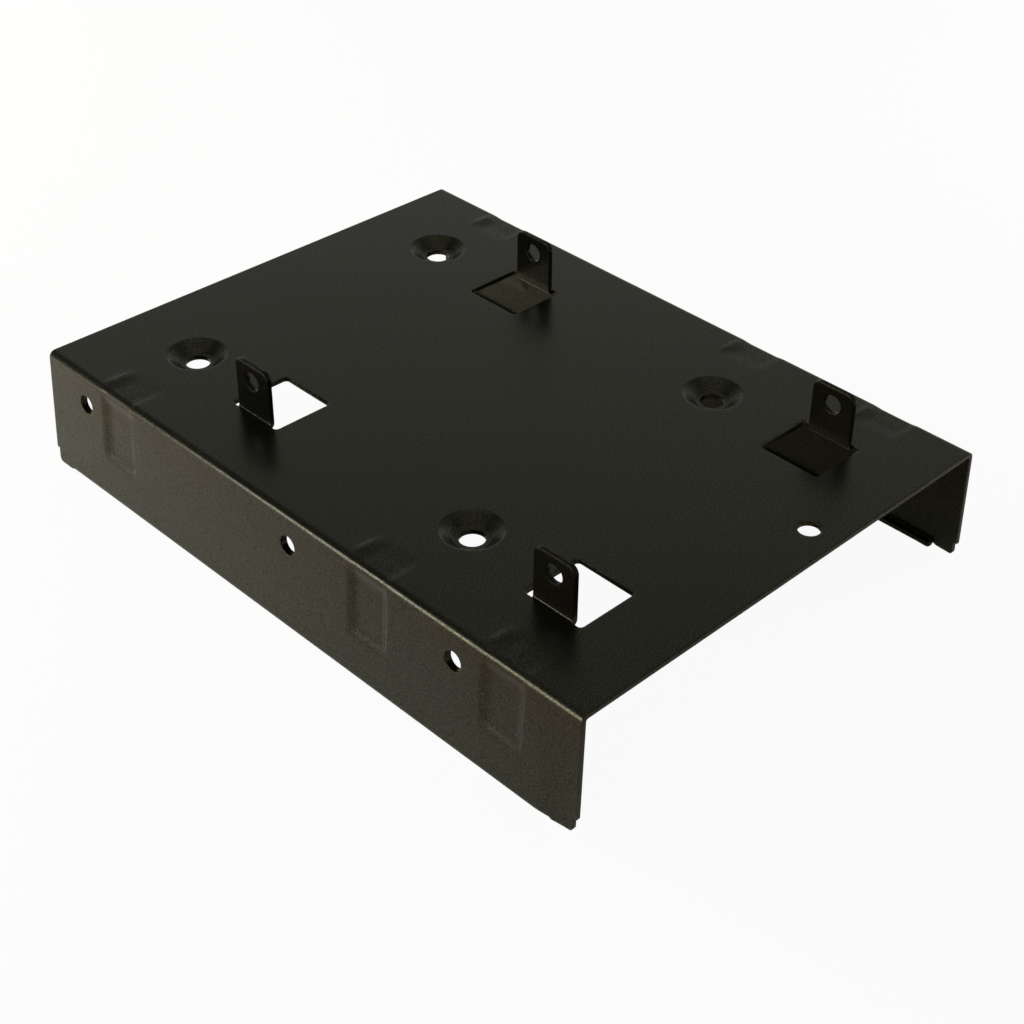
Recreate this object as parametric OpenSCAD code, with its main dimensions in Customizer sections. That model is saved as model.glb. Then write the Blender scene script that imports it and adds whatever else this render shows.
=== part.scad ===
// Drive bay adapter bracket: one pressed and folded steel sheet.
// X runs across the bracket, Y along it (the connector end at minus Y), Z up.
// The origin is at the centre of the footprint, on the plane of the bottom lips.

/* [Sheet] */
// Thickness of the steel sheet
sheet_t = 1; // [0.8:0.1:1.5]
// Width across the two long top bends
bay_w = 101.6; // [96:0.1:110]
// Length of the bracket from end to end
bracket_len = 141.6; // [138:0.1:160]
// Height from the bottom lips to the top of the plate
bracket_h = 24.6; // [22:0.1:32]
// Outer radius of the long top bends
bend_r = 1.4; // [1.2:0.1:2]
// Angle in degrees by which each side wall leans out from square
wall_lean = 3.6; // [0:0.1:5]

/* [Bottom lips] */
// Reach of a bottom lip inward from the outer face of its wall
lip_reach = 2.2; // [1.8:0.1:4]
// Outer radius of the lip bend
lip_bend_r = 1.3; // [1.1:0.1:1.6]
// Distance from each end of the bracket to the end of the lip
lip_inset = 5.4; // [4:0.1:10]
// Radius of the free corners of a lip
lip_corner_r = 0.8; // [0.4:0.1:0.9]
// Height of the narrower foot at the bottom of each wall end
foot_h = 3.4; // [2.5:0.1:5]
// Distance by which a foot is set back from the wall end
foot_inset = 0.7; // [0.3:0.1:1.5]
// Height of the cut edge of a foot above the lip underside
foot_clear = 0.4; // [0.1:0.1:1]
// Radius of the outer bottom corner of a foot
foot_corner_r = 1.3; // [0.6:0.1:1.8]

/* [Side holes] */
// Diameter of the holes in the side walls
side_hole_d = 3.7; // [3:0.1:4.5]
// Depth of the side holes below the top of the plate
side_hole_drop = 6.35; // [5:0.05:9]
// Distance from the connector end to the first side hole
side_hole_start = 28.2; // [26:0.1:32]
// Distance from the first to the middle side hole
side_hole_step = 41.6; // [38:0.1:45]
// Distance from the first to the last side hole
side_hole_span = 101.6; // [96:0.1:104]

/* [Drive tabs] */
// Clear gap between the inner faces of facing tabs
tab_gap = 69.9; // [68:0.1:74]
// Width of a tab
tab_w = 9.2; // [7:0.1:11]
// Height of a tab above the top of the plate
tab_h = 10.6; // [9:0.1:12]
// Radius of the upper corners of a tab
tab_corner_r = 1.6; // [0.5:0.1:2.5]
// Inner radius of the bend at the root of a tab
tab_bend_r = 0.3; // [0.2:0.1:0.6]
// Distance from the connector end to the middle of the first tab
tab_start = 21; // [18:0.05:24]
// Distance between the two tabs of one side
tab_pitch = 76.6; // [70:0.1:82]
// Diameter of the hole in a tab
tab_hole_d = 3.7; // [3:0.1:4.5]
// Height of the tab hole above the top of the plate
tab_hole_h = 7.1; // [5.5:0.1:7.5]
// Length of the window opened by a tab, across the bracket
window_run = 12.6; // [11.5:0.1:15]
// Relief of the window beyond each edge of its tab
window_relief = 1.8; // [1:0.1:2.4]
// Radius of the window corners
window_corner_r = 0.7; // [0.3:0.1:0.9]

/* [Dimpled holes] */
// Distance between dimples across the bracket
dimple_pitch_x = 61.72; // [58:0.01:64]
// Distance between dimples along the bracket
dimple_pitch_y = 76.6; // [72:0.1:80]
// Distance from the connector end to the first dimple
dimple_start = 45.2; // [44:0.1:48]
// Rim diameter of a dimple
dimple_d = 10.9; // [9.5:0.1:12]
// Diameter of the flat floor of a dimple
dimple_floor_d = 7.2; // [6.2:0.1:8]
// Depth of a dimple
dimple_depth = 1.8; // [1:0.1:2.4]
// Diameter of the hole in the dimple floor
dimple_hole_d = 4.7; // [3.5:0.1:5.5]

/* [Locating hole] */
// Diameter of the single off-centre hole
locating_hole_d = 4.1; // [3:0.1:5]
// Distance of the off-centre hole from the centre line
locating_hole_x = 10.7; // [5:0.1:20]
// Distance of the off-centre hole from the connector end
locating_hole_start = 6; // [5:0.1:12]

/* [Bend dents] */
// Width of a dent along the bracket
dent_w = 10; // [8:0.1:11]
// Depth of a dent
dent_depth = 0.6; // [0.3:0.05:0.7]
// Width of the sloped wall round a dent
dent_slope = 0.8; // [0.5:0.1:1.2]
// Corner radius of a dent at the sheet surface
dent_corner_r = 2.5; // [1.6:0.1:3.2]
// Reach of a dent over the plate from the outer edge
dent_on_plate = 8.5; // [7:0.1:10]
// Reach of a dent down the side wall from the top
dent_on_wall = 15.8; // [13:0.1:17]
// Distance from the connector end to the first dent
dent_first = 17; // [15:0.1:22]
// Distance from the connector end to the second dent
dent_second = 49.1; // [44:0.1:56]
// Distance from the connector end to the third dent
dent_third = 119.7; // [112:0.1:124]

/* [Hidden] */
paint_color = [0.17, 0.17, 0.16];
// Overrun of every cutting tool past the face it opens
cut_over = 0.5;
$fn = 30;

half_w = bay_w / 2;
half_len = bracket_len / 2;
// Centre line of a long top bend, with x on the minus X side
bend_x = bend_r - half_w;
bend_z = bracket_h - bend_r;
// Centre line of a lip bend
lip_x = bend_x + ((bend_z - lip_bend_r) * -sin(wall_lean) - bend_r + lip_bend_r) / cos(wall_lean);
lip_len = bracket_len - lip_inset - lip_inset;
foot_len = bracket_len - foot_inset - foot_inset;
// Side holes sit on the leaning wall at their stated depth
side_hole_z = bracket_h - side_hole_drop;
side_hole_x = wall_x(side_hole_z, bend_r);
side_hole_places = [side_hole_start, side_hole_start + side_hole_step, side_hole_start + side_hole_span];
// Fold line of the tabs on the minus X side
tab_fold_x = -tab_gap / 2 - sheet_t - tab_bend_r;
tab_places = [tab_start, tab_start + tab_pitch];
window_w = tab_w + window_relief + window_relief;
dimple_places = [dimple_start, dimple_start + dimple_pitch_y];
dent_places = [dent_first, dent_second, dent_third];
// Growth of a pressed shape from the outer to the inner face of the sheet
dent_grow = sheet_t * tan(atan(dent_depth / dent_slope) / 2);
dimple_run = (dimple_d - dimple_floor_d) / 2;
dimple_grow = sheet_t * tan(atan(dimple_depth / dimple_run) / 2);

// Place on X of a wall face at a height, for its radius at the top bend
function wall_x(height, face_r) =
    bend_x - face_r / cos(wall_lean) + (height - bend_z) * tan(wall_lean);

// Point where a face leaves a bend for the wall
function tangent_point(x, z, face_r) = [x - face_r * cos(wall_lean), z + face_r * sin(wall_lean)];

// Flat outline in X and Z, carried along the bracket and centred on Y
module along_y(run) {
    rotate([90, 0, 0]) linear_extrude(run, center = true) children();
}

// Flat outline in Y and Z, given one sheet of thickness towards plus X
module upright(thick) {
    rotate([90, 0, 90]) linear_extrude(thick) children();
}

// Copies of a minus X side feature on both sides
module both_sides() {
    children();
    mirror([1, 0, 0]) children();
}

// Waste outside a quarter round, in the corner of plus X and plus Y
module round_waste(corner) {
    difference() {
        square(corner + cut_over);
        circle(corner);
    }
}

// Filled cross-section inside one face of the folded sheet, lips included
module filled_section(depth) {
    top_r = bend_r - depth;
    low_r = lip_bend_r - depth;
    both_sides() {
        polygon([[0, bracket_h - depth], [bend_x, bracket_h - depth], tangent_point(bend_x, bend_z, top_r),
            tangent_point(lip_x, lip_bend_r, low_r), [lip_x, depth], [0, depth]]);
        translate([bend_x, bend_z]) circle(top_r);
        translate([lip_x, lip_bend_r]) circle(low_r);
    }
}

// Cross-section of the folded sheet, open below between its two lips
module sheet_section() {
    mouth = -lip_x - lip_reach + lip_bend_r;
    difference() {
        filled_section(0);
        filled_section(sheet_t);
        translate([-mouth, -cut_over]) square([mouth + mouth, sheet_t + cut_over + cut_over]);
    }
}

// Folded channel: plate, long bends, walls and bottom lips
module channel() {
    along_y(lip_len) sheet_section();
    along_y(bracket_len) intersection() {
        sheet_section();
        translate([-bay_w, foot_h]) square([bay_w + bay_w, bracket_h]);
    }
}

// Frame of a side wall: outer face on X zero, bend tangent on Z zero
module on_wall() {
    translate([bend_x, 0, bend_z]) rotate([0, wall_lean, 0]) translate([-bend_r, 0, 0]) children();
}

// Narrower feet that end a side wall beside its lip
module feet() {
    top = foot_h + foot_h;
    difference() {
        along_y(foot_len) polygon([[wall_x(foot_clear, bend_r), foot_clear], [wall_x(top, bend_r), top],
            [wall_x(top, bend_r - sheet_t), top], [wall_x(foot_clear, bend_r - sheet_t), foot_clear]]);
        along_y(lip_len) translate([-bay_w, 0]) square([bay_w, top + cut_over]);
        for (end = [0, 1]) mirror([0, end, 0])
            translate([-bay_w, foot_len / 2 - foot_corner_r, foot_clear + foot_corner_r]) upright(bay_w)
                mirror([0, 1]) round_waste(foot_corner_r);
    }
}

// Waste outside the rounded free corners of a lip
module lip_corner_waste() {
    for (end = [0, 1]) mirror([0, end, 0])
        translate([lip_x + lip_reach - lip_bend_r - lip_corner_r, lip_len / 2 - lip_corner_r, -cut_over])
            linear_extrude(sheet_t + cut_over + cut_over) round_waste(lip_corner_r);
}

// Cross-section of a tab and of the plate just before its bend
module tab_section() {
    outer = tab_bend_r + sheet_t;
    translate([tab_fold_x, bracket_h + tab_bend_r]) difference() {
        union() {
            circle(outer);
            square([outer, tab_h - tab_bend_r]);
            translate([-outer, -outer]) square([outer, outer]);
        }
        circle(tab_bend_r);
        translate([-outer - cut_over, -tab_bend_r]) square([outer + cut_over, tab_h + cut_over]);
        translate([-cut_over, 0]) square([tab_bend_r + cut_over, tab_h + cut_over]);
    }
}

// Drive tab turned up from the plate at its fold line
module tab() {
    difference() {
        along_y(tab_w) tab_section();
        translate([tab_fold_x - cut_over, 0, bracket_h]) upright(bay_w / 2) {
            translate([0, tab_hole_h]) circle(d = tab_hole_d);
            for (end = [0, 1]) mirror([end, 0])
                translate([tab_w / 2 - tab_corner_r, tab_h - tab_corner_r]) round_waste(tab_corner_r);
        }
    }
}

// Window left in the plate where a tab was turned up
module tab_window() {
    depth = sheet_t + cut_over + cut_over;
    translate([tab_fold_x, 0, bracket_h - sheet_t - cut_over]) linear_extrude(depth) {
        translate([window_corner_r, -window_w / 2])
            square([window_run - window_corner_r - window_corner_r, window_w]);
        translate([0, window_corner_r - window_w / 2])
            square([window_run, window_w - window_corner_r - window_corner_r]);
        for (end = [-1, 1], far = [window_corner_r, window_run - window_corner_r])
            translate([far, end * (window_w / 2 - window_corner_r)]) circle(window_corner_r);
    }
}

// Sloped pocket sunk below Z zero: open at its start on X, rounded at its end.
// The grow widens it all round; the rise carries the slope on above Z zero.
module dish(run, start, grow, rise) {
    half = dent_w / 2 + grow;
    stop = run + grow;
    corner = dent_corner_r + grow;
    spread = dent_slope * rise / dent_depth;
    slope = [[half + spread, rise], [-half - spread, rise], [dent_slope - half, -dent_depth],
        [half - dent_slope, -dent_depth]];
    translate([start, 0, 0]) upright(stop - corner - start) polygon(slope);
    along_y(half + half - corner - corner) polygon([[start, rise], [stop + spread, rise],
        [stop - dent_slope, -dent_depth], [start, -dent_depth]]);
    for (end = [-1, 1])
        translate([stop - corner, end * (half - corner), -dent_depth])
            cylinder(h = dent_depth + rise, r1 = corner - dent_slope, r2 = corner + spread);
}

// Pocket of a dent on the plate and on the wall
module dent_dishes(start, depth, grow, rise) {
    translate([bend_x, 0, bracket_h - depth]) dish(dent_on_plate - bend_r, start, grow, rise);
    on_wall() translate([depth, 0, 0]) rotate([0, 90, 0]) mirror([0, 0, 1])
        dish(dent_on_wall - bend_r, start, grow, rise);
}

// Metal that a dent pushes through to the inner face
module dent_back() {
    dent_dishes(sheet_t / 2 - bend_r, sheet_t, dent_grow, sheet_t / 4);
}

// Hollow that a dent leaves on the outer face, run out over the bend
module dent_front() {
    dent_dishes(-bend_r - cut_over, 0, 0, cut_over);
}

// Cone of a dimple with its wide end on Z zero
module dimple_cone(grow, rise) {
    spread = rise * dimple_run / dimple_depth;
    translate([0, 0, -dimple_depth])
        cylinder(h = dimple_depth + rise, r1 = dimple_floor_d / 2 + grow,
            r2 = dimple_d / 2 + grow + spread);
}

// Places of the dimples on the plate
module at_dimples() {
    for (side = [-1, 1], place = dimple_places)
        translate([side * dimple_pitch_x / 2, place - half_len, bracket_h]) children();
}

// Round hole along X through a minus X side wall
module side_holes() {
    for (place = side_hole_places)
        translate([side_hole_x - cut_over, place - half_len, side_hole_z]) rotate([0, 90, 0])
            cylinder(h = sheet_t + cut_over + cut_over, d = side_hole_d);
}

// The whole folded sheet
module bracket() {
    color(paint_color) difference() {
        union() {
            difference() {
                channel();
                both_sides() for (place = tab_places) translate([0, place - half_len, 0]) tab_window();
            }
            both_sides() {
                feet();
                for (place = tab_places) translate([0, place - half_len, 0]) tab();
                for (place = dent_places) translate([0, place - half_len, 0]) dent_back();
            }
            at_dimples() translate([0, 0, -sheet_t]) dimple_cone(dimple_grow, sheet_t / 4);
        }
        both_sides() {
            for (place = dent_places) translate([0, place - half_len, 0]) dent_front();
            side_holes();
            lip_corner_waste();
        }
        at_dimples() {
            dimple_cone(0, cut_over);
            translate([0, 0, -dimple_depth - sheet_t - cut_over])
                cylinder(h = sheet_t + cut_over + cut_over, d = dimple_hole_d);
        }
        translate([locating_hole_x, locating_hole_start - half_len, bracket_h - sheet_t - cut_over])
            cylinder(h = sheet_t + cut_over + cut_over, d = locating_hole_d);
    }
}

bracket();
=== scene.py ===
"""Looks of a drive bay adapter bracket: one steel sheet, punched, folded, pressed and painted black."""

import logging
import math
from dataclasses import dataclass, field
from enum import Enum

import bpy
import numpy as np
from mathutils import Matrix, Vector


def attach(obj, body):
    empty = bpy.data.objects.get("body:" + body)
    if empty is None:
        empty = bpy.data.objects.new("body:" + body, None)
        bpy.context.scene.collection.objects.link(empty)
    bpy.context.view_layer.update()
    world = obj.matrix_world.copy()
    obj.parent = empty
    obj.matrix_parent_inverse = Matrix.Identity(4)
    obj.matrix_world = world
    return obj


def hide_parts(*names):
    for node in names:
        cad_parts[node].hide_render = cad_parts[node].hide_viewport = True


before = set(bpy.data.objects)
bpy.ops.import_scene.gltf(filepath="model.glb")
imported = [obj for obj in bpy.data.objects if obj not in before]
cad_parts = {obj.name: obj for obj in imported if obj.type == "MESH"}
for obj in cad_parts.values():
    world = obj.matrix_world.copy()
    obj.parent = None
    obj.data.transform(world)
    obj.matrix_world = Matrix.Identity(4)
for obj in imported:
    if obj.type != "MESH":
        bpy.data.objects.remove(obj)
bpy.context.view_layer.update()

MM = 0.001
# Small lengths in millimetres: what counts as nothing, as on a line, as the same place and as beside a corner
ROUNDING = 1e-6
ON_LINE = 0.005
LEEWAY = 0.01
CORNER_ROOM = 0.05
log = logging.getLogger("bracket")


class Side(Enum):
    """Side of the bracket, as the sign of X."""

    NEAR = -1
    FAR = 1


def linear(code: str) -> tuple[float, float, float, float]:
    """Turns an sRGB hex code to linear light.

    Args:
        code: Six hex digits.

    Returns:
        Red, green, blue and an alpha of one.
    """
    parts = [int(code[i : i + 2], 16) / 255 for i in (0, 2, 4)]
    light = [p / 12.92 if p <= 0.04045 else ((p + 0.055) / 1.055) ** 2.4 for p in parts]
    return light[0], light[1], light[2], 1.0


def deselect_all() -> None:
    """Leaves object mode with nothing selected."""
    if bpy.context.object and bpy.context.object.mode != "OBJECT":
        bpy.ops.object.mode_set(mode="OBJECT")
    bpy.ops.object.select_all(action="DESELECT")


def select_only(thing: bpy.types.Object) -> None:
    """Selects one object and makes it the active one.

    Args:
        thing: The object.
    """
    deselect_all()
    bpy.context.view_layer.objects.active = thing
    thing.select_set(True)


def eased(share: np.ndarray) -> np.ndarray:
    """Limits shares of a way to 0 to 1 and makes their start and end soft.

    Args:
        share: The shares, which may lie below 0 and above 1.

    Returns:
        The soft shares.
    """
    share = np.clip(share, 0, 1)
    return share * share * (3 - 2 * share)


def add_node(tree: bpy.types.NodeTree, kind: str, settings: dict | None = None,
             sockets: dict | None = None) -> bpy.types.Node:
    """Adds a shader node with its settings, values and links.

    Args:
        tree: The node tree.
        kind: Blender's name of the node type.
        settings: Values of the node's own properties.
        sockets: For an input's name or number, a value or the output that feeds it.

    Returns:
        The new node.
    """
    node = tree.nodes.new(kind)
    for name, value in (settings or {}).items():
        setattr(node, name, value)
    for name, value in (sockets or {}).items():
        if isinstance(value, bpy.types.NodeSocket):
            tree.links.new(value, node.inputs[name])
        else:
            node.inputs[name].default_value = value
    return node


def maths(tree: bpy.types.NodeTree, operation: str,
          *values: float | bpy.types.NodeSocket) -> bpy.types.NodeSocket:
    """Adds a sum of one or two values.

    Args:
        tree: The node tree.
        operation: Blender's name of the operation.
        *values: Numbers, or the outputs that feed the node.

    Returns:
        The output with the result.
    """
    return add_node(tree, "ShaderNodeMath", {"operation": operation}, dict(enumerate(values))).outputs[0]


def spread(tree: bpy.types.NodeTree, value: bpy.types.NodeSocket, span: tuple[float, float],
           target: tuple[float, float] = (0.0, 1.0), shape: str = "LINEAR") -> bpy.types.NodeSocket:
    """Spreads a span of values over another, and holds what lies outside at its ends.

    Args:
        tree: The node tree.
        value: The output that is spread.
        span: Values that are given the target's two ends.
        target: The two ends of the result.
        shape: Blender's name of the way between the ends.

    Returns:
        The output with the result.
    """
    return add_node(tree, "ShaderNodeMapRange", {"interpolation_type": shape},
                    {"Value": value, "From Min": span[0], "From Max": span[1],
                     "To Min": target[0], "To Max": target[1]}).outputs["Result"]


def mixed(tree: bpy.types.NodeTree, kind: str, share: bpy.types.NodeSocket,
          *values: float | tuple[float, ...] | bpy.types.NodeSocket) -> bpy.types.NodeSocket:
    """Mixes two numbers or colours.

    Args:
        tree: The node tree.
        kind: Blender's name of the type of the values.
        share: Output that gives the second value's share.
        *values: The two values, or the outputs that give them.

    Returns:
        The output with the mix.
    """
    return add_node(tree, "ShaderNodeMix", {"data_type": kind},
                    {"Factor": share, "A": values[0], "B": values[1]}).outputs["Result"]


def noise(tree: bpy.types.NodeTree, place: bpy.types.NodeSocket, size: float, detail: float,
          roughness: float) -> bpy.types.NodeSocket:
    """Adds a cloudy noise.

    Args:
        tree: The node tree.
        place: Output with the place in metres.
        size: Size of the largest forms in millimetres.
        detail: Number of finer layers.
        roughness: Strength of each layer against the one before.

    Returns:
        The output with the noise, mostly between 0.3 and 0.7.
    """
    return add_node(tree, "ShaderNodeTexNoise", None,
                    {"Vector": place, "Scale": 1 / (size * MM), "Detail": detail,
                     "Roughness": roughness}).outputs["Fac"]


def new_tree(name: str) -> tuple[bpy.types.Material, bpy.types.NodeTree]:
    """Makes an empty node material.

    Args:
        name: Name of the material.

    Returns:
        The material and its cleared node tree.
    """
    material = bpy.data.materials.new(name)
    material.use_nodes = True
    material.node_tree.nodes.clear()
    return material, material.node_tree


@dataclass(frozen=True)
class BlackPaint:
    """Baked semi-gloss black paint on steel: a warm charcoal with a fine, slightly pebbled skin.

    A span holds two values of a noise, or two heights in millimetres, between which something sets in.
    """

    name: str = "baked_black_paint"
    coat: str = "080806"
    # Warmer colour laid on the upright faces as a painted warm reflection of the floor
    coat_warm_reflection: str = "120e07"
    speck: str = "16150f"
    grain_mm: float = 0.3
    grain_detail: float = 2.0
    grain_roughness: float = 0.6
    cloud_mm: float = 38.0
    cloud_detail: float = 3.0
    cloud_roughness: float = 0.5
    # Noise span of the clouds that break up the painted warm reflection
    reflection_cloud_span: tuple[float, float] = (0.35, 0.7)
    speck_span: tuple[float, float] = (0.55, 0.8)
    speck_share: float = 0.55
    roughness: tuple[float, float] = (0.23, 0.33)
    roughness_span: tuple[float, float] = (0.3, 0.7)
    ior: float = 1.62
    gloss: tuple[float, float] = (0.25, 0.75)
    pit_span: tuple[float, float] = (0.36, 0.64)
    # Share of gloss left at the top of the walls, dimmed as painted shade of the mirrored floor
    gloss_wall_top_shaded: float = 0.72
    wall_span: tuple[float, float] = (5.0, 22.0)
    # Share of gloss left on the tabs, cut down as painted shade
    gloss_tab_shaded: float = 0.35
    tab_span: tuple[float, float] = (25.2, 26.2)
    gloss_tint: str = "f9fccd"
    # Brown tint of the gloss at the top of the walls, a painted warm reflection
    gloss_tint_top_reflection: str = "ffe3a6"
    patch_low: float = 0.6
    patch_span: tuple[float, float] = (0.35, 0.65)
    peel_strength: float = 0.22
    peel_mm: float = 0.04

    def build(self) -> bpy.types.Material:
        """Builds the paint.

        Returns:
            The material.
        """
        material, tree = new_tree(self.name)
        place = add_node(tree, "ShaderNodeTexCoord").outputs["Object"]
        # Broad clouds that vary the roughness and break the painted warm reflection on the walls into patches
        cloud = noise(tree, place, self.cloud_mm, self.cloud_detail, self.cloud_roughness)
        reflection_clouds = spread(tree, cloud, self.reflection_cloud_span)
        # Orange peel of the sprayed coat, which breaks up every highlight
        peel = noise(tree, place, self.grain_mm, self.grain_detail, self.grain_roughness)
        speck = spread(tree, peel, self.speck_span, (0.0, self.speck_share))
        # Painted warm reflection: the upright faces get a warmer colour, in clouds, standing in for the warm
        # floor that they mirror
        facing = add_node(tree, "ShaderNodeNewGeometry").outputs["Normal"]
        facing = add_node(tree, "ShaderNodeSeparateXYZ", None, {0: facing}).outputs["Z"]
        upright = maths(tree, "SUBTRACT", 1.0, maths(tree, "ABSOLUTE", facing))
        base = mixed(tree, "RGBA", maths(tree, "MULTIPLY", upright, reflection_clouds),
                     linear(self.coat), linear(self.coat_warm_reflection))
        skin = mixed(tree, "RGBA", speck, base, linear(self.speck))
        # Fine pits of the baked coat dull the mirror image point by point
        level = spread(tree, peel, self.pit_span, self.gloss)
        # Painted shade and painted warm reflection: on the upright faces the gloss is dimmed and tinted brown
        # towards the bend, the brown in soft patches
        height = add_node(tree, "ShaderNodeSeparateXYZ", None, {0: place}).outputs["Z"]
        rise = maths(tree, "MULTIPLY", self.between(tree, height, self.wall_span), upright)
        level = maths(tree, "MULTIPLY", level, spread(tree, rise, (0.0, 1.0), (1.0, self.gloss_wall_top_shaded)))
        patch = spread(tree, cloud, self.patch_span, (self.patch_low, 1.0))
        tint = mixed(tree, "RGBA", maths(tree, "MULTIPLY", rise, patch),
                     linear(self.gloss_tint), linear(self.gloss_tint_top_reflection))
        # Painted shade: the gloss of the tabs that stand up over the plate is cut almost away, which darkens
        # them
        level = maths(tree, "MULTIPLY", level,
                      self.between(tree, height, self.tab_span, (1.0, self.gloss_tab_shaded)))
        bump = add_node(tree, "ShaderNodeBump", None,
                        {"Height": peel, "Strength": self.peel_strength, "Distance": self.peel_mm * MM})
        shader = add_node(tree, "ShaderNodeBsdfPrincipled", None,
                          {"Base Color": skin, "IOR": self.ior, "Specular IOR Level": level,
                           "Specular Tint": tint, "Normal": bump.outputs["Normal"],
                           "Roughness": spread(tree, cloud, self.roughness_span, self.roughness)})
        add_node(tree, "ShaderNodeOutputMaterial", None, {"Surface": shader.outputs["BSDF"]})
        return material

    @staticmethod
    def between(tree: bpy.types.NodeTree, height: bpy.types.NodeSocket, span: tuple[float, float],
                target: tuple[float, float] = (0.0, 1.0)) -> bpy.types.NodeSocket:
        """Spreads the height, in metres, from one to another that are given in millimetres."""
        return spread(tree, height, (span[0] * MM, span[1] * MM), target)


@dataclass(frozen=True)
class PaleFloor:
    """Matt white paper floor, a little warm."""

    name: str = "matt_white_floor"
    colour: str = "faf8f2"
    lift_seen: float = 0.94
    lift_mirrored: float = 0.03
    lift_strength: float = 1.0

    def build(self) -> bpy.types.Material:
        """Builds the floor material, lifted towards white where it is seen, directly or in a gloss.

        Returns:
            The material.
        """
        material, tree = new_tree(self.name)
        path = add_node(tree, "ShaderNodeLightPath").outputs
        straight = maths(tree, "MAXIMUM", path["Is Camera Ray"], path["Is Transmission Ray"])
        straight = maths(tree, "MULTIPLY", straight, self.lift_seen)
        mirrored = maths(tree, "MULTIPLY", path["Is Glossy Ray"], self.lift_mirrored)
        matt = add_node(tree, "ShaderNodeBsdfDiffuse", None, {"Color": linear(self.colour)})
        white = add_node(tree, "ShaderNodeEmission", None, {"Strength": self.lift_strength})
        both = add_node(tree, "ShaderNodeMixShader", None,
                        {0: maths(tree, "MAXIMUM", straight, mirrored),
                         1: matt.outputs[0], 2: white.outputs[0]})
        add_node(tree, "ShaderNodeOutputMaterial", None, {"Surface": both.outputs[0]})
        return material


@dataclass
class Lines:
    """Grid lines across one direction of the blank, in millimetres."""

    low: float
    high: float
    widest: float
    nearest: float = 0.2
    exact: list[float] = field(default_factory=list)
    wished: list[float] = field(default_factory=list)

    def add(self, *places: float) -> None:
        """Adds lines that have to stand exactly where they are."""
        self.exact += [p for p in places if self.low <= p <= self.high and self.clear(p, LEEWAY)]

    def wish(self, *places: float) -> None:
        """Adds lines that are left out where another is near."""
        self.wished += places

    def around(self, middle: float, exact: tuple[float, ...], wished: tuple[float, ...] = ()) -> None:
        """Adds lines at equal steps on both sides of a middle."""
        self.add(*(middle + sign * step for step in exact for sign in (-1, 1)))
        self.wish(*(middle + sign * step for step in wished for sign in (-1, 1)))

    def clear(self, place: float, room: float) -> bool:
        """Tells whether no line stands within some room of a place."""
        return all(abs(place - p) > room for p in self.exact)

    def finished(self) -> np.ndarray:
        """Takes up the wished lines that have room and closes wide gaps.

        Returns:
            All the lines in rising order.
        """
        self.add(self.low, self.high)
        for place in self.wished:
            if self.low < place < self.high and self.clear(place, self.nearest):
                self.exact.append(place)
        ordered = sorted(self.exact)
        for a, b in zip(ordered[:-1], ordered[1:]):
            count = math.ceil((b - a) / self.widest)
            self.exact += [a + (b - a) * i / count for i in range(1, count)]
        return np.array(sorted(self.exact))


def drawn_round(points: np.ndarray, middle: tuple[float, float], radius: float, block: float,
                quarter: tuple[int, int] | None = None) -> np.ndarray:
    """Draws the square rings of a grid round a middle into circles, fading out to a square block.

    Args:
        points: Flat places, two columns, in millimetres.
        middle: Middle of the circles.
        radius: Rings up to this size become full circles.
        block: Half size of the square where the pull has faded out.
        quarter: Signs of the one quarter to draw, or None for all four.

    Returns:
        The moved places.
    """
    away = points - np.array(middle)
    size = np.abs(away).max(axis=1)
    inside = (size < block) & (size > ROUNDING)
    if quarter:
        inside &= (away[:, 0] * quarter[0] > 0) & (away[:, 1] * quarter[1] > 0)
    a, b, ring = np.abs(away[:, 0]), np.abs(away[:, 1]), np.maximum(size, ROUNDING)
    turn = np.where(a >= b, math.pi / 4 * b / ring, math.pi / 2 - math.pi / 4 * a / ring)
    circle = np.sign(away) * (ring * np.array([np.cos(turn), np.sin(turn)])).T
    fade = eased((ring - radius) / max(block - radius, ROUNDING))[:, None]
    moved = np.array(middle) + circle * (1 - fade) + away * fade
    return np.where(inside[:, None], moved, points)


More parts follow.
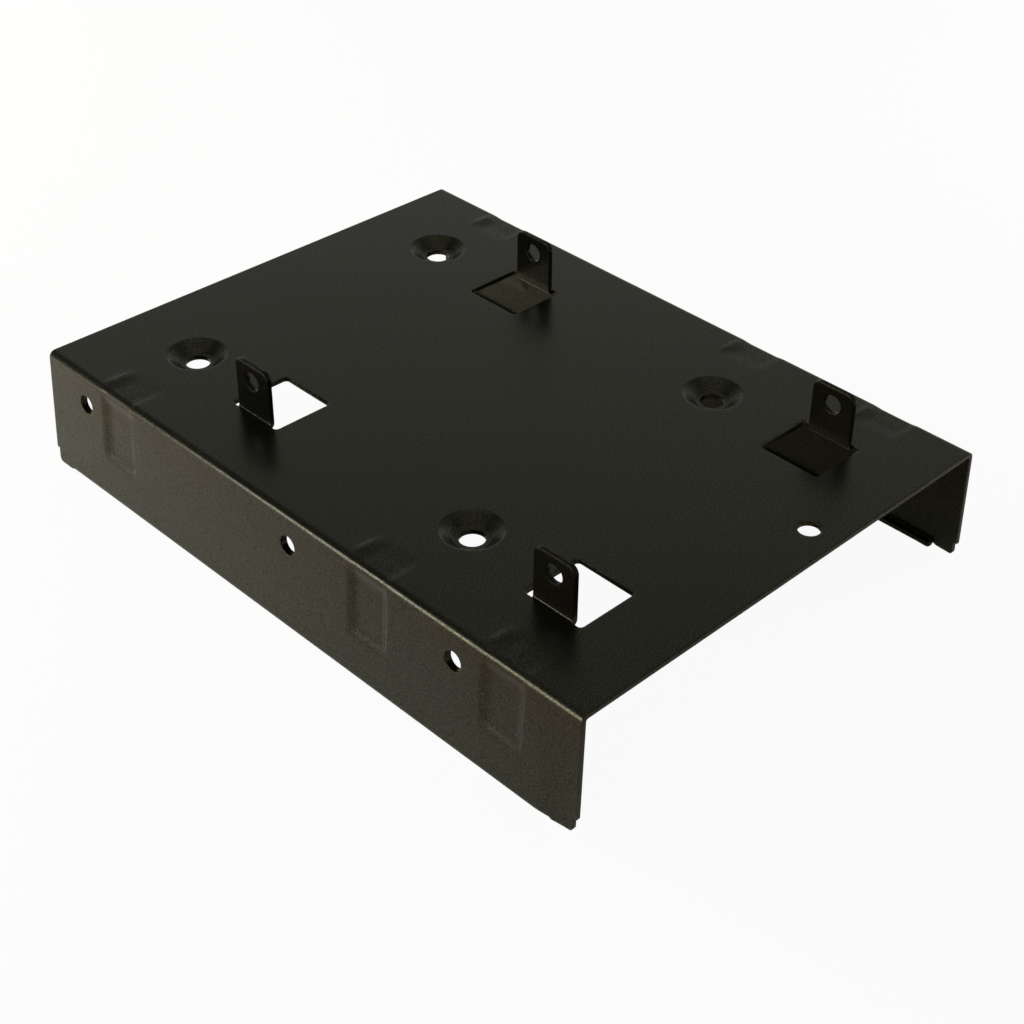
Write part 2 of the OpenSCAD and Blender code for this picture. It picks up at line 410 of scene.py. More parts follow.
@dataclass
class FoldedSheet:
    """The bracket: a steel blank that is punched, folded, pressed and painted. Sizes are in millimetres."""

    name: str = "bracket_sheet"
    thickness: float = 1.0
    width: float = 101.6
    length: float = 141.6
    height: float = 24.6
    bend_r: float = 1.4
    lean: float = math.radians(3.6)
    bend_steps: int = 8
    lip_reach: float = 2.2
    lip_bend_r: float = 1.3
    lip_inset: float = 5.4
    lip_corner_r: float = 0.8
    lip_blend: float = 0.6
    foot_h: float = 3.4
    foot_inset: float = 0.7
    foot_clear: float = 0.55
    foot_corners: tuple[float, float] = (0.6, 1.1)
    toe_in: tuple[float, float] = (0.9, 0.45)
    toe_start: float = 62.0
    collar: float = 0.5
    collar_w: float = 0.4
    side_hole_r: float = 1.85
    side_hole_drop: float = 6.35
    side_holes: tuple[float, ...] = (28.2, 69.8, 129.8)
    tab_outer_x: float = 35.95
    tab_w: float = 9.2
    tab_h: float = 10.6
    tab_corner_r: float = 1.6
    tab_bend_r: float = 0.2
    tab_hole_r: float = 1.85
    tab_hole_h: float = 7.1
    tabs: tuple[float, ...] = (21.0, 97.6)
    window_run: float = 12.6
    window_relief: float = 1.8
    window_corner_r: float = 0.7
    dimple_x: float = 30.86
    dimples: tuple[float, ...] = (45.2, 121.8)
    dimple_rim_r: float = 5.75
    dimple_floor_r: float = 3.1
    dimple_depth: float = 1.8
    dimple_hole_r: float = 2.35
    dimple_straight: float = 0.8
    dimple_steps: tuple[float, ...] = (0.0, 0.8, 1.6, 2.8, 3.1, 3.4, 4.2, 5.0, 5.5, 5.75, 6.0, 7.2)
    dimple_round: float = 6.1
    hole_ring: float = 0.45
    hole_block: float = 1.1
    tab_hole_ring: float = 0.3
    locating_r: float = 2.05
    locating_x: float = 10.7
    locating_start: float = 6.0
    locating_block: float = 1.2
    dents: tuple[float, ...] = (17.0, 49.1, 119.7)
    dent_w: float = 10.0
    dent_depth: float = 0.6
    dent_sides: tuple[float, float] = (1.8, 2.6)
    dent_ends: tuple[float, float] = (4.0, 2.8)
    dent_plate_share: float = 0.2
    dent_on_plate: float = 8.5
    dent_on_wall: float = 15.8
    dent_bend_share: float = 0.25
    dent_crest: float = 0.16
    dent_crest_sides: tuple[float, float] = (3.2, 1.2)
    dent_lead: float = 0.25
    dent_ramp: float = 2.4
    dent_crest_ramp: float = 1.5
    edge_r: float = 0.14
    edge_steps: int = 2
    smooth_angle: float = math.radians(35)
    grid_widest: float = 5.0
    tab_widest: float = 1.5
    tab_bend_steps: int = 5
    toe_step: float = 1.4
    bend_steps_beside: tuple[float, ...] = (0.25, 0.6, 1.0, 1.5, 2.0, 2.6)
    corner_shares: tuple[float, ...] = (0.3, 0.6, 1.0)
    window_shares: tuple[float, ...] = (0.33, 0.66, 1.0, 1.6)
    dent_end_step: float = 0.55
    dent_side_steps: tuple[float, ...] = (-0.25, 0.1, 0.45, 0.8, 1.15, 1.5, 2.1, 3.2, 4.4)
    dent_crest_steps: tuple[float, ...] = (0.35, 0.75, 1.2)
    paint: BlackPaint = field(default_factory=BlackPaint)

    def __post_init__(self) -> None:
        """Works out the lengths along the flat blank, from the centre line outwards."""
        sine, cosine = math.sin(self.lean), math.cos(self.lean)
        self.bend_x = self.width / 2 - self.bend_r
        self.bend_z = self.height - self.bend_r
        self.lip_x = self.bend_x + ((self.bend_z - self.lip_bend_r) * sine
                                    + self.bend_r - self.lip_bend_r) / cosine
        self.wall_top = self.bend_z + self.bend_r * sine
        self.wall_low = self.lip_bend_r + self.lip_bend_r * sine
        self.bend_turn = math.pi / 2 - self.lean
        self.lip_turn = math.pi / 2 + self.lean
        self.flat_wall = self.bend_x + self.bend_r * self.bend_turn
        self.flat_lip_bend = self.flat_at(self.wall_low)
        self.flat_lip = self.flat_lip_bend + self.lip_bend_r * self.lip_turn
        self.flat_end = self.flat_lip + self.lip_reach - self.lip_bend_r
        self.fold_x = self.tab_outer_x + self.tab_bend_r
        self.lip_half = self.length / 2 - self.lip_inset
        self.foot_half = self.length / 2 - self.foot_inset
        self.hole_steps = (0.0, self.side_hole_r / 3, self.side_hole_r * 2 / 3,
                           self.side_hole_r + self.hole_ring, self.side_hole_r + self.hole_block)

    def flat_at(self, z: float) -> float:
        """Place on the flat blank of a point of the wall, for its height."""
        return self.flat_wall + (self.wall_top - z) / math.cos(self.lean)

    def along(self, start: float) -> float:
        """Place on Y for a distance from the connector end."""
        return start - self.length / 2

    def cross_lines(self) -> np.ndarray:
        """Lays the grid lines that run along the bracket.

        Returns:
            Flat distances from the centre line.
        """
        lines = Lines(0.0, self.flat_end, self.grid_widest)
        lines.add(self.bend_x, self.flat_wall, self.flat_lip_bend, self.flat_lip)
        for i in range(1, self.bend_steps):
            lines.add(self.bend_x + self.bend_r * self.bend_turn * i / self.bend_steps)
            lines.add(self.flat_lip_bend + self.lip_bend_r * self.lip_turn * i / self.bend_steps)
        lines.add(self.fold_x, self.fold_x - self.window_run)
        lines.around(self.dimple_x, (self.dimple_hole_r,), self.dimple_steps)
        lines.around(self.locating_x, (self.locating_r,),
                     self.hole_steps[:3] + (self.locating_r + self.locating_block,))
        lines.around(self.flat_at(self.height - self.side_hole_drop), (self.side_hole_r,), self.hole_steps)
        foot_low = self.flat_at(self.foot_clear)
        lines.add(foot_low, self.flat_at(self.foot_h))
        for share in self.corner_shares:
            lines.wish(self.flat_end - self.lip_corner_r * share,
                       *(foot_low - radius * share for radius in self.foot_corners))
        for corner, away in ((self.fold_x, -1), (self.fold_x - self.window_run, 1)):
            for share in self.window_shares:
                lines.wish(corner + away * self.window_corner_r * share)
        plate_end = self.width / 2 - self.dent_on_plate
        wall_end = self.flat_at(self.height - self.dent_on_wall)
        deepest = self.dent_ends[0] + self.dent_lead
        for step in np.arange(-self.dent_lead, deepest, self.dent_end_step):
            lines.wish(plate_end + step, wall_end - step)
        for step in self.bend_steps_beside:
            lines.wish(self.bend_x - step, self.flat_wall + step)
        return lines.finished()

    def length_lines(self) -> np.ndarray:
        """Lays the grid lines that run across the bracket.

        Returns:
            Places on Y.
        """
        half = self.length / 2
        lines = Lines(-half, half, self.grid_widest)
        for end, radius in zip((-1, 1), self.foot_corners):
            lines.add(end * self.lip_half, end * (self.lip_half + self.lip_blend), end * self.foot_half)
            lines.add(end * (self.lip_half - self.lip_corner_r))
            for share in self.corner_shares:
                lines.wish(end * (self.foot_half - radius * share),
                           end * (self.lip_half - self.lip_corner_r * share))
            lines.wish(*(end * place for place in np.arange(self.toe_start, half, self.toe_step)))
        for start in self.dimples:
            lines.around(self.along(start), (self.dimple_hole_r,), self.dimple_steps)
        for start in self.side_holes:
            lines.around(self.along(start), (self.side_hole_r,), self.hole_steps)
        lines.around(self.along(self.locating_start), (self.locating_r,),
                     self.hole_steps[:3] + (self.locating_r + self.locating_block,))
        for start in self.tabs:
            middle = self.along(start)
            reach = self.tab_w / 2 + self.window_relief
            lines.around(middle, (self.tab_w / 2, reach, self.tab_hole_r), self.hole_steps[:4])
            for share in self.window_shares:
                corner = self.tab_corner_r * share / self.window_shares[-1]
                lines.around(middle, (), (reach - self.window_corner_r * share, self.tab_w / 2 - corner))
        for start in self.dents:
            for step in self.dent_side_steps:
                lines.around(self.along(start), (), (self.dent_w / 2 - step,))
            lines.wish(*(self.along(start) + self.dent_w / 2 + step for step in self.dent_crest_steps))
        return lines.finished()

    def blank(self) -> bpy.types.Object:
        """Lays out one half of the flat blank, from the centre line to the free edge of the lip.

        Returns:
            The blank, with its flat places kept on its points.
        """
        across, down = self.cross_lines(), self.length_lines()
        deselect_all()
        bpy.ops.mesh.primitive_grid_add(
            x_subdivisions=len(across) - 1, y_subdivisions=len(down) - 1, size=self.length * MM,
            location=(0, 0, self.height * MM))
        sheet = bpy.context.object
        sheet.name = self.name
        bpy.ops.object.transform_apply(location=True, rotation=True, scale=True)
        co = self.read(sheet)
        half = self.length / 2
        column = np.rint((co[:, 0] / half + 1) / 2 * (len(across) - 1)).astype(int)
        row = np.rint((co[:, 1] / half + 1) / 2 * (len(down) - 1)).astype(int)
        flat = np.stack([across[column], down[row]], axis=1)
        self.keep(sheet, "flat_x", flat[:, 0])
        self.keep(sheet, "flat_y", flat[:, 1])
        self.write(sheet, np.stack([-flat[:, 0], flat[:, 1], co[:, 2]], axis=1))
        return sheet

    @staticmethod
    def read(sheet: bpy.types.Object) -> np.ndarray:
        """Reads the points of a mesh in millimetres."""
        co = np.empty(len(sheet.data.vertices) * 3)
        sheet.data.vertices.foreach_get("co", co)
        return co.reshape(-1, 3) / MM

    @staticmethod
    def write(sheet: bpy.types.Object, co: np.ndarray) -> None:
        """Writes the points of a mesh from millimetres."""
        sheet.data.vertices.foreach_set("co", (co * MM).ravel())
        sheet.data.update()

    @staticmethod
    def keep(sheet: bpy.types.Object, name: str, values: np.ndarray) -> None:
        """Keeps a number on each point of a mesh."""
        layer = sheet.data.attributes.new(name, "FLOAT", "POINT")
        layer.data.foreach_set("value", values.astype(np.float32))

    @staticmethod
    def kept(sheet: bpy.types.Object, name: str) -> np.ndarray:
        """Reads back a number kept on each point of a mesh."""
        values = np.empty(len(sheet.data.vertices), np.float32)
        sheet.data.attributes[name].data.foreach_get("value", values)
        return values.astype(float)

    def flat_places(self, sheet: bpy.types.Object) -> np.ndarray:
        """Flat places of all points, two columns."""
        return np.stack([self.kept(sheet, "flat_x"), self.kept(sheet, "flat_y")], axis=1)

    def delete_faces(self, sheet: bpy.types.Object, waste: np.ndarray) -> None:
        """Deletes the marked faces with the points that only they use.

        Args:
            sheet: The mesh.
            waste: One truth value for each face.
        """
        select_only(sheet)
        bpy.ops.object.mode_set(mode="EDIT")
        bpy.ops.mesh.select_mode(type="FACE")
        bpy.ops.mesh.select_all(action="DESELECT")
        bpy.ops.object.mode_set(mode="OBJECT")
        sheet.data.polygons.foreach_set("select", waste)
        bpy.ops.object.mode_set(mode="EDIT")
        bpy.ops.mesh.delete(type="FACE")
        bpy.ops.object.mode_set(mode="OBJECT")

    def face_middles(self, sheet: bpy.types.Object) -> np.ndarray:
        """Middles of all faces in millimetres."""
        middles = np.empty(len(sheet.data.polygons) * 3)
        sheet.data.polygons.foreach_get("center", middles)
        return middles.reshape(-1, 3) / MM

    def punch(self, sheet: bpy.types.Object) -> None:
        """Cuts the outline, the windows and the holes out of the flat half blank.

        Args:
            sheet: The half blank.
        """
        middle = self.face_middles(sheet)
        x, y = -middle[:, 0], middle[:, 1]
        beside = np.abs(y)
        waste = (beside > self.lip_half) & (x > self.flat_at(self.foot_clear))
        waste |= (beside > self.foot_half) & (x > self.flat_at(self.foot_h))
        reach = self.tab_w / 2 + self.window_relief
        for start in self.tabs:
            waste |= ((x < self.fold_x) & (x > self.fold_x - self.window_run)
                      & (np.abs(y - self.along(start)) < reach))
        for start in self.dimples:
            waste |= self.in_block(x, y, self.dimple_x, self.along(start), self.dimple_hole_r)
        hole_x = self.flat_at(self.height - self.side_hole_drop)
        for start in self.side_holes:
            waste |= self.in_block(x, y, hole_x, self.along(start), self.side_hole_r)
        self.delete_faces(sheet, waste)
        flat = self.flat_places(sheet)
        for start in self.side_holes:
            flat = drawn_round(flat, (hole_x, self.along(start)), self.side_hole_r + self.hole_ring,
                               self.side_hole_r + self.hole_block)
        for start in self.dimples:
            flat = drawn_round(flat, (self.dimple_x, self.along(start)), self.dimple_round,
                               self.dimple_steps[-1])
        for start in self.tabs:
            for end in (-1, 1):
                for corner, away in ((self.fold_x, 1), (self.fold_x - self.window_run, -1)):
                    place = (corner - away * self.window_corner_r,
                             self.along(start) + end * (reach - self.window_corner_r))
                    flat = drawn_round(flat, place, self.window_corner_r,
                                       self.window_corner_r * self.window_shares[-1], (away, end))
        for end, radius in zip((-1, 1), self.foot_corners):
            foot = (self.flat_at(self.foot_clear) - radius, end * (self.foot_half - radius))
            flat = drawn_round(flat, foot, radius, radius + CORNER_ROOM, (1, end))
            lip = (self.flat_end - self.lip_corner_r, end * (self.lip_half - self.lip_corner_r))
            flat = drawn_round(flat, lip, self.lip_corner_r, self.lip_corner_r + CORNER_ROOM, (1, end))
        co = self.read(sheet)
        self.write(sheet, np.stack([-flat[:, 0], flat[:, 1], co[:, 2]], axis=1))

    @staticmethod
    def in_block(x: np.ndarray, y: np.ndarray, mid_x: float, mid_y: float, half: float) -> np.ndarray:
        """Marks the places inside a square block."""
        return (np.abs(x - mid_x) < half) & (np.abs(y - mid_y) < half)

    def fold(self, sheet: bpy.types.Object, start: float, radius: float, turn: float,
             centre: tuple[float, float], steps: int, held: float | None = None) -> None:
        """Rolls the blank round a bend: all that lies past each line is drawn up to it and turned.

        Args:
            sheet: The half blank.
            start: Flat place where the bend begins.
            radius: Outer radius of the bend.
            turn: Whole angle of the bend.
            centre: Bend axis in X and Z.
            steps: Number of equal turns.
            held: Half length in Y of the part that bends, or None for all of it.
        """
        flat_x, beside = self.kept(sheet, "flat_x"), np.abs(self.kept(sheet, "flat_y"))
        free = beside <= (held if held is not None else self.length) + LEEWAY
        length, step = radius * turn / steps, turn / steps
        co = self.read(sheet)
        first = co[free & (np.abs(flat_x - start) < ON_LINE)][0][[0, 2]]
        inward = (np.array(centre) - first) / radius
        away = np.array([inward[1], -inward[0]])
        for i in range(steps):
            # Direction in which the sheet runs on from the line that was turned last
            run = away * math.cos(i * step) + inward * math.sin(i * step)
            self.select_points(sheet, free & (flat_x > start + length * (i + 0.5)))
            bpy.ops.object.mode_set(mode="EDIT")
            bpy.ops.transform.translate(value=(-run[0] * length * MM, 0, -run[1] * length * MM))
            bpy.ops.transform.rotate(value=step, orient_axis="Y",
                                     center_override=(centre[0] * MM, 0, centre[1] * MM))
            bpy.ops.object.mode_set(mode="OBJECT")

    def select_points(self, sheet: bpy.types.Object, chosen: np.ndarray) -> None:
        """Selects the marked points of a mesh and nothing else.

        Args:
            sheet: The mesh.
            chosen: One truth value for each point.
        """
        select_only(sheet)
        bpy.ops.object.mode_set(mode="EDIT")
        bpy.ops.mesh.select_mode(type="VERT")
        bpy.ops.mesh.select_all(action="DESELECT")
        bpy.ops.object.mode_set(mode="OBJECT")
        sheet.data.vertices.foreach_set("select", chosen)
        edges = np.empty(len(sheet.data.edges) * 2, int)
        sheet.data.edges.foreach_get("vertices", edges)
        sheet.data.edges.foreach_set("select", chosen[edges.reshape(-1, 2)].all(axis=1))

    def raise_tab(self, sheet: bpy.types.Object, start: float) -> None:
        """Turns one tab up from the outer edge of its window and shapes its top and hole.

        Args:
            sheet: The folded half, open at the windows.
            start: Distance of the tab from the connector end.
        """
        middle = self.along(start)
        co = self.read(sheet)
        root = ((np.abs(co[:, 0] + self.fold_x) < ON_LINE) & (np.abs(co[:, 2] - self.height) < ON_LINE)
                & (np.abs(co[:, 1] - middle) < self.tab_w / 2 + ON_LINE))
        before = len(co)
        self.select_points(sheet, root)
        bpy.ops.object.mode_set(mode="EDIT")
        bpy.ops.mesh.select_mode(type="EDGE")
        bpy.ops.mesh.spin(steps=self.tab_bend_steps, angle=math.pi / 2, axis=(0, 1, 0),
                          center=(-self.fold_x * MM, middle * MM, (self.height + self.tab_bend_r) * MM))
        hole = self.height + self.tab_hole_h
        top = self.height + self.tab_h
        rows = Lines(self.height + self.tab_bend_r, top, self.tab_widest)
        rows.around(hole, (self.tab_hole_r,), self.hole_steps[:4])
        rows.add(top - self.tab_corner_r)
        rows.wish(top - self.tab_corner_r / 3, top - self.tab_corner_r * 2 / 3)
        levels = rows.finished()
        for low, high in zip(levels[:-1], levels[1:]):
            bpy.ops.mesh.extrude_region_move(TRANSFORM_OT_translate={"value": (0, 0, (high - low) * MM)})
        bpy.ops.object.mode_set(mode="OBJECT")
        middles = self.face_middles(sheet)
        self.delete_faces(sheet, self.in_block(middles[:, 2], middles[:, 1], hole, middle, self.tab_hole_r)
                          & (np.abs(middles[:, 0] + self.tab_outer_x) < LEEWAY))
        co = self.read(sheet)
        upright = (np.abs(co[:, 0] + self.tab_outer_x) < LEEWAY) & (np.abs(co[:, 1] - middle) < self.tab_w)
        upright &= co[:, 2] > self.height + self.tab_bend_r / 2
        face = co[upright][:, [2, 1]]
        face = drawn_round(face, (hole, middle), self.tab_hole_r + self.tab_hole_ring,
                           self.tab_hole_r + self.hole_ring)
        for end in (-1, 1):
            place = (top - self.tab_corner_r, middle + end * (self.tab_w / 2 - self.tab_corner_r))
            face = drawn_round(face, place, self.tab_corner_r, self.tab_corner_r + CORNER_ROOM, (1, end))
        co[upright, 2], co[upright, 1] = face[:, 0], face[:, 1]
        self.write(sheet, co)
        log.info("tab at %.1f mm: %d new points", start, len(co) - before)

    def mirror(self, sheet: bpy.types.Object) -> None:
        """Joins the half with its mirror image along the centre line.

        Args:
            sheet: The folded half.
        """
        mirror = sheet.modifiers.new("other half", "MIRROR")
        mirror.merge_threshold = ROUNDING
        self.apply(sheet, mirror)

    def apply(self, sheet: bpy.types.Object, modifier: bpy.types.Modifier) -> None:
        """Applies a modifier."""
        select_only(sheet)
        bpy.ops.object.modifier_apply(modifier=modifier.name)

    def punch_locating_hole(self, sheet: bpy.types.Object) -> None:
        """Cuts the single off-centre hole at the connector end.

        Args:
            sheet: The whole folded sheet, still without thickness.
        """
        middle = self.face_middles(sheet)
        place = (self.locating_x, self.along(self.locating_start))
        on_plate = middle[:, 2] > self.height - LEEWAY
        inside = self.in_block(middle[:, 0], middle[:, 1], *place, self.locating_r)
        self.delete_faces(sheet, on_plate & inside)
        co = self.read(sheet)
        on_plate = co[:, 2] > self.height - LEEWAY
        flat = drawn_round(co[:, :2], place, self.locating_r, self.locating_r + self.locating_block)
        co[on_plate, :2] = flat[on_plate]
        self.write(sheet, co)

    def face_outwards(self, sheet: bpy.types.Object) -> None:
        """Turns every face of the open sheet to the outer side.

        Args:
            sheet: The whole folded sheet, still without thickness.
        """
        self.select_points(sheet, np.ones(len(sheet.data.vertices), bool))
        bpy.ops.object.mode_set(mode="EDIT")
        bpy.ops.mesh.select_all(action="SELECT")
        bpy.ops.mesh.normals_make_consistent(inside=False)
        bpy.ops.object.mode_set(mode="OBJECT")
        middles = self.face_middles(sheet)
        plate = int(np.argmin(np.hypot(middles[:, 0], middles[:, 1])))
        if sheet.data.polygons[plate].normal.z < 0:
            sheet.data.flip_normals()

    def press(self, sheet: bpy.types.Object) -> None:
        """Sinks the dents across the long bends and the dimples in the plate.

        Args:
            sheet: The folded sheet, still without thickness.
        """
        co = self.read(sheet)
        flat = self.flat_places(sheet)
        normals = np.empty(len(co) * 3)
        sheet.data.vertices.foreach_get("normal", normals)
        normals = normals.reshape(-1, 3)
        depth = np.zeros(len(co))
        first = self.width / 2 - self.dent_on_plate
        last = self.flat_at(self.height - self.dent_on_wall)
        for start in self.dents:
            sunk = np.ones(len(co))
            # The side towards the far end slopes more gently than the one towards the connector end
            beside = flat[:, 1] - self.along(start)
            gaps = (beside + self.dent_w / 2, self.dent_w / 2 - beside, flat[:, 0] - first, last - flat[:, 0])
            for gap, slope in zip(gaps, self.dent_sides + self.dent_ends):
                sunk *= eased((gap + self.dent_lead) / slope)
            depth = np.maximum(depth, self.dent_depth * sunk)
        # Full depth on the wall, little on the stiff bend and on the plate
        down = eased((flat[:, 0] - self.flat_wall) / self.dent_ramp)
        inland = eased((self.bend_x - flat[:, 0]) / self.dent_ramp)
        depth *= (self.dent_bend_share + (1 - self.dent_bend_share) * down
                  + (self.dent_plate_share - self.dent_bend_share) * inland)
        # The plate stands up in a low crest along the dent's side towards the far end
        fade = eased((flat[:, 0] - first) / self.dent_ends[0])
        fade *= np.clip((self.bend_x - flat[:, 0]) / self.dent_crest_ramp, 0, 1)
        for start in self.dents:
            gap = flat[:, 1] - self.along(start) - self.dent_w / 2
            gap = gap / np.where(gap < 0, *self.dent_crest_sides)
            depth -= self.dent_crest * fade * np.clip(1 - gap * gap, 0, 1) ** 2
        co -= normals * depth[:, None]
        for start in self.dimples:
            for side in Side:
                away = np.hypot(co[:, 0] - side.value * self.dimple_x, co[:, 1] - self.along(start))
                share = np.clip((self.dimple_rim_r - away) / (self.dimple_rim_r - self.dimple_floor_r), 0, 1)
                sunk = self.dimple_straight * share + (1 - self.dimple_straight) * eased(share)
                sunk *= self.dimple_depth
                on_plate = co[:, 2] > self.height - self.thickness
                co[:, 2] -= np.where(on_plate, sunk, 0)
        # The walls toe in a little at the connector end, most at the bottom
        reach = eased((-co[:, 1] - self.toe_start) / (self.length / 2 - self.toe_start))
        fall = np.clip((self.bend_z - co[:, 2]) / self.bend_z, 0, 1)
        on_wall = np.abs(co[:, 0]) > self.bend_x - self.lip_reach - self.thickness
        toe = np.where(co[:, 0] < 0, *self.toe_in)
        co[:, 0] -= np.sign(co[:, 0]) * on_wall * toe * reach * fall
        self.write(sheet, co)

    def mark_cut_edges(self, sheet: bpy.types.Object) -> None:
        """Marks the free edges of the open sheet, which become the cut edges of the thick one.

        Args:
            sheet: The sheet, still without thickness.
        """
        used = np.empty(len(sheet.data.loops), int)
        sheet.data.loops.foreach_get("edge_index", used)
        free = np.bincount(used, minlength=len(sheet.data.edges)) == 1
        layer = sheet.data.attributes.new("bevel_weight_edge", "FLOAT", "EDGE")
        layer.data.foreach_set("value", free.astype(np.float32))

    def thicken(self, sheet: bpy.types.Object) -> None:
        """Gives the sheet its thickness, inward from the outer face, and rounds its cut edges.

        Args:
            sheet: The pressed sheet, still without thickness.
        """
        self.mark_cut_edges(sheet)
        wall = sheet.modifiers.new("thickness", "SOLIDIFY")
        wall.thickness = self.thickness * MM
        wall.offset = -1
        wall.use_even_offset = True
        self.apply(sheet, wall)
        # Drawn collars stand round the side holes on the inner face
        co = self.read(sheet)
        outer = self.bend_x + self.bend_r / math.cos(self.lean)
        outer = outer + (self.bend_z - co[:, 2]) * math.tan(self.lean)
        inside = outer - np.abs(co[:, 0])
        inner = (inside > self.thickness / 2) & (inside < 2 * self.thickness)
        for start in self.side_holes:
            away = np.hypot(co[:, 1] - self.along(start), co[:, 2] - self.height + self.side_hole_drop)
            rise = self.collar * np.clip(1 - (away - self.side_hole_r) / self.collar_w, 0, 1)
            co[:, 0] -= np.sign(co[:, 0]) * inner * rise
        self.write(sheet, co)
        edge = sheet.modifiers.new("cut edges", "BEVEL")
        edge.width = self.edge_r * MM
        edge.segments = self.edge_steps
        edge.limit_method = "WEIGHT"
        edge.use_clamp_overlap = False
        self.apply(sheet, edge)

    def build(self) -> bpy.types.Object:
        """Builds the whole sheet in the order in which such a sheet is made.

        Returns:
            The finished object.
        """
        sheet = self.blank()
        self.punch(sheet)
        self.fold(sheet, self.bend_x, self.bend_r, self.bend_turn, (-self.bend_x, self.bend_z),
                  self.bend_steps)
        self.fold(sheet, self.flat_lip_bend, self.lip_bend_r, self.lip_turn, (-self.lip_x, self.lip_bend_r),
                  self.bend_steps, self.lip_half)
        for start in self.tabs:
            self.raise_tab(sheet, start)
        self.mirror(sheet)
        self.punch_locating_hole(sheet)
        self.face_outwards(sheet)
        self.press(sheet)
        self.thicken(sheet)
        select_only(sheet)
        bpy.ops.object.shade_smooth_by_angle(angle=self.smooth_angle)
        flat_first = sheet.modifiers.new("flat faces first", "WEIGHTED_NORMAL")
        flat_first.keep_sharp = True
        self.apply(sheet, flat_first)
        for name in ("flat_x", "flat_y"):
            sheet.data.attributes.remove(sheet.data.attributes[name])
        sheet.data.materials.append(self.paint.build())
        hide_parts("bracket")
        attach(sheet, "root")
        return sheet


@dataclass(frozen=True)
class Softbox:
    """One rectangular softbox, with its place, aim and size in metres, and whether gloss mirrors it."""

    name: str
    place: tuple[float, float, float]
    aim: tuple[float, float, float]
    size: tuple[float, float]
    power: float
    colour: str = "ffffff"
    mirrored: bool = True

    def build(self) -> None:
        """Hangs the softbox."""
        data = bpy.data.lights.new(self.name, "AREA")
        data.shape = "RECTANGLE"
        data.size, data.size_y = self.size
        data.energy = self.power
        data.color = linear(self.colour)[:3]
        lamp = bpy.data.objects.new(self.name, data)
        lamp.location = self.place
        lamp.rotation_euler = (Vector(self.aim) - Vector(self.place)).to_track_quat("-Z", "Y").to_euler()
        lamp.visible_glossy = self.mirrored
        bpy.context.scene.collection.objects.link(lamp)


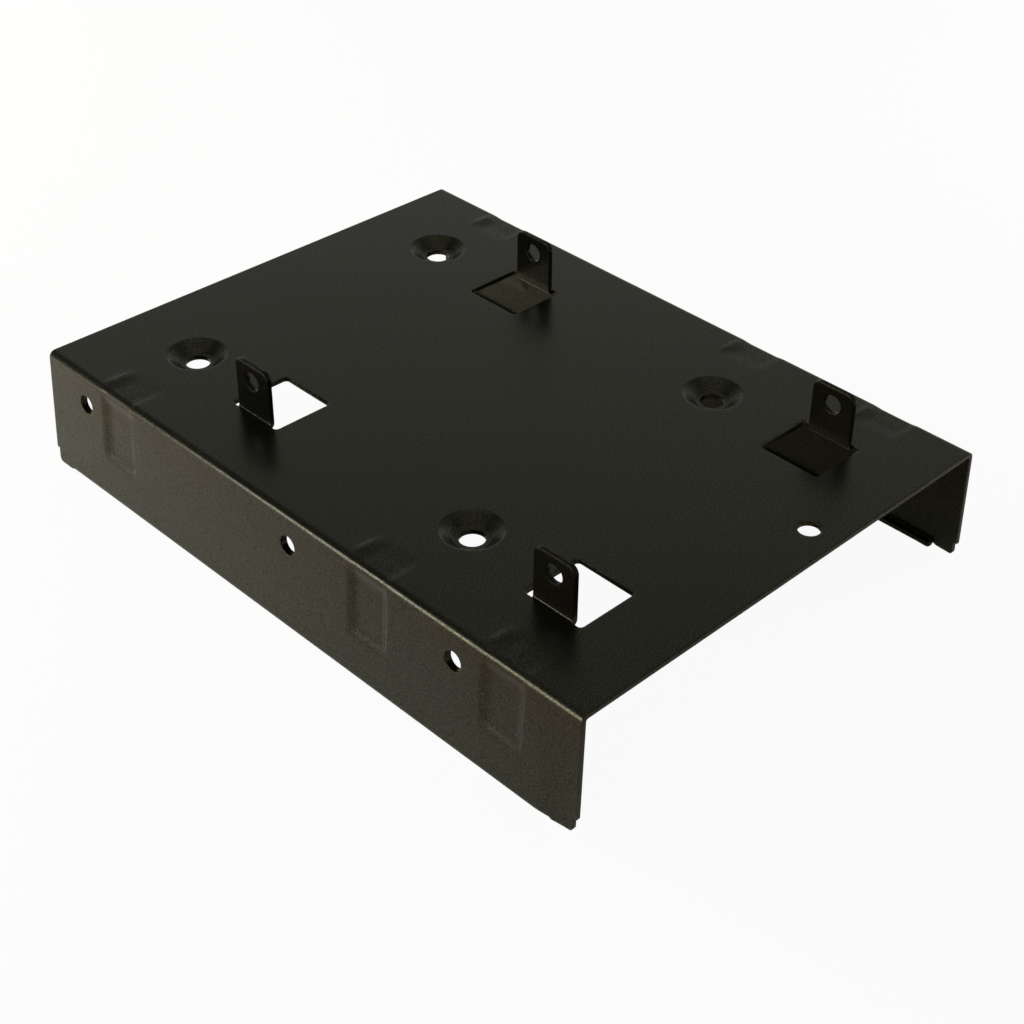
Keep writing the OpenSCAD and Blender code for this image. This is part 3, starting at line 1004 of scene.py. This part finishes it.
@dataclass
class Studio:
    """Pale floor, soft sky and soft lights, in metres.

    A span holds two values of one part of a sky direction, between which the sky's brightness changes.
    """

    floor_size: float = 30.0
    sky_low: float = 0.40
    sky_high: float = 0.13
    sky_rise_span: tuple[float, float] = (0.35, 0.75)
    sky_dim_side: float = 0.4
    sky_side_span: tuple[float, float] = (-0.4, 0.4)
    backdrop: float = 1.0
    floor_drop: float = 0.0001
    floor: PaleFloor = field(default_factory=PaleFloor)
    softboxes: tuple[Softbox, ...] = (
        Softbox("window_softbox", (-0.30, 0.13, 0.08), (0.0, 0.13, 0.02), (0.25, 0.12), 0.7, "eef3ff"),
        Softbox("far_left_softbox", (-0.12, 0.44, 0.10), (-0.07, 0.03, 0.0), (0.14, 0.12), 1.9, "fff5e2",
                mirrored=False),
        Softbox("right_softbox", (0.40, -0.12, 0.12), (0.08, -0.02, 0.0), (0.20, 0.14), 0.7,
                mirrored=False),
        Softbox("top_softbox", (-0.1, 0.0, 1.6), (0.0, 0.0, 0.0), (1.5, 1.5), 1.5),
    )

    def build(self) -> None:
        """Lays the floor, sets the sky and hangs the lights."""
        deselect_all()
        bpy.ops.mesh.primitive_plane_add(size=self.floor_size, location=(0, 0, -self.floor_drop))
        ground = bpy.context.object
        ground.name = "studio_floor"
        ground.data.materials.append(self.floor.build())
        world = bpy.context.scene.world or bpy.data.worlds.new("studio_sky")
        bpy.context.scene.world = world
        world.use_nodes = True
        world.node_tree.nodes.clear()
        tree = world.node_tree
        toward = add_node(tree, "ShaderNodeTexCoord").outputs["Generated"]
        parts = add_node(tree, "ShaderNodeSeparateXYZ", None, {0: toward}).outputs
        light = spread(tree, parts["Z"], self.sky_rise_span, (self.sky_low, self.sky_high))
        side = spread(tree, parts["X"], self.sky_side_span, (self.sky_dim_side, 1.0), "SMOOTHSTEP")
        # The camera sees a plain white backdrop where it looks past the floor
        straight = add_node(tree, "ShaderNodeLightPath").outputs["Is Camera Ray"]
        seen = mixed(tree, "FLOAT", straight, maths(tree, "MULTIPLY", light, side), self.backdrop)
        sky = add_node(tree, "ShaderNodeBackground", None, {"Color": (1, 1, 1, 1), "Strength": seen})
        add_node(tree, "ShaderNodeOutputWorld", None, {"Surface": sky.outputs[0]})
        for softbox in self.softboxes:
            softbox.build()


@dataclass
class PhotoCamera:
    """Camera solved from the photograph, with lengths in millimetres and angles in degrees."""

    place: tuple[float, float, float] = (-203.191, -211.122, 215.92)
    azimuth: float = -47.33
    elevation: float = 35.467
    roll: float = 2.269
    focus: float = 1883.168
    middle: tuple[float, float] = (591.015, 478.595)
    frame_size: int = 1024
    sensor: float = 36.0

    def build(self) -> None:
        """Sets up the camera."""
        data = bpy.data.cameras.new("photo_camera")
        data.sensor_width = self.sensor
        data.lens = self.focus * self.sensor / self.frame_size
        data.shift_x = (self.frame_size / 2 - self.middle[0]) / self.frame_size
        data.shift_y = (self.middle[1] - self.frame_size / 2) / self.frame_size
        camera = bpy.data.objects.new("photo_camera", data)
        az, el, roll = (math.radians(v) for v in (self.azimuth, self.elevation, self.roll))
        back = Vector((math.sin(az) * math.cos(el), -math.cos(az) * math.cos(el), math.sin(el)))
        right = Vector((-back.y, back.x, 0)).normalized()
        up = back.cross(right)
        rolled_right = math.cos(roll) * right + math.sin(roll) * up
        rolled_up = -math.sin(roll) * right + math.cos(roll) * up
        turn = Matrix((rolled_right, rolled_up, back)).transposed()
        camera.matrix_world = Matrix.Translation(Vector(self.place) * MM) @ turn.to_4x4()
        bpy.context.scene.collection.objects.link(camera)
        bpy.context.scene.camera = camera


def main() -> None:
    """Builds the sheet, the studio and the camera."""
    logging.basicConfig(level=logging.INFO, format="%(name)s: %(message)s")
    sheet = FoldedSheet().build()
    log.info("%s: %d points, %d faces", sheet.name, len(sheet.data.vertices), len(sheet.data.polygons))
    Studio().build()
    PhotoCamera().build()
    bpy.context.scene.view_settings.view_transform = "Standard"


if __name__ == "__main__":
    main()
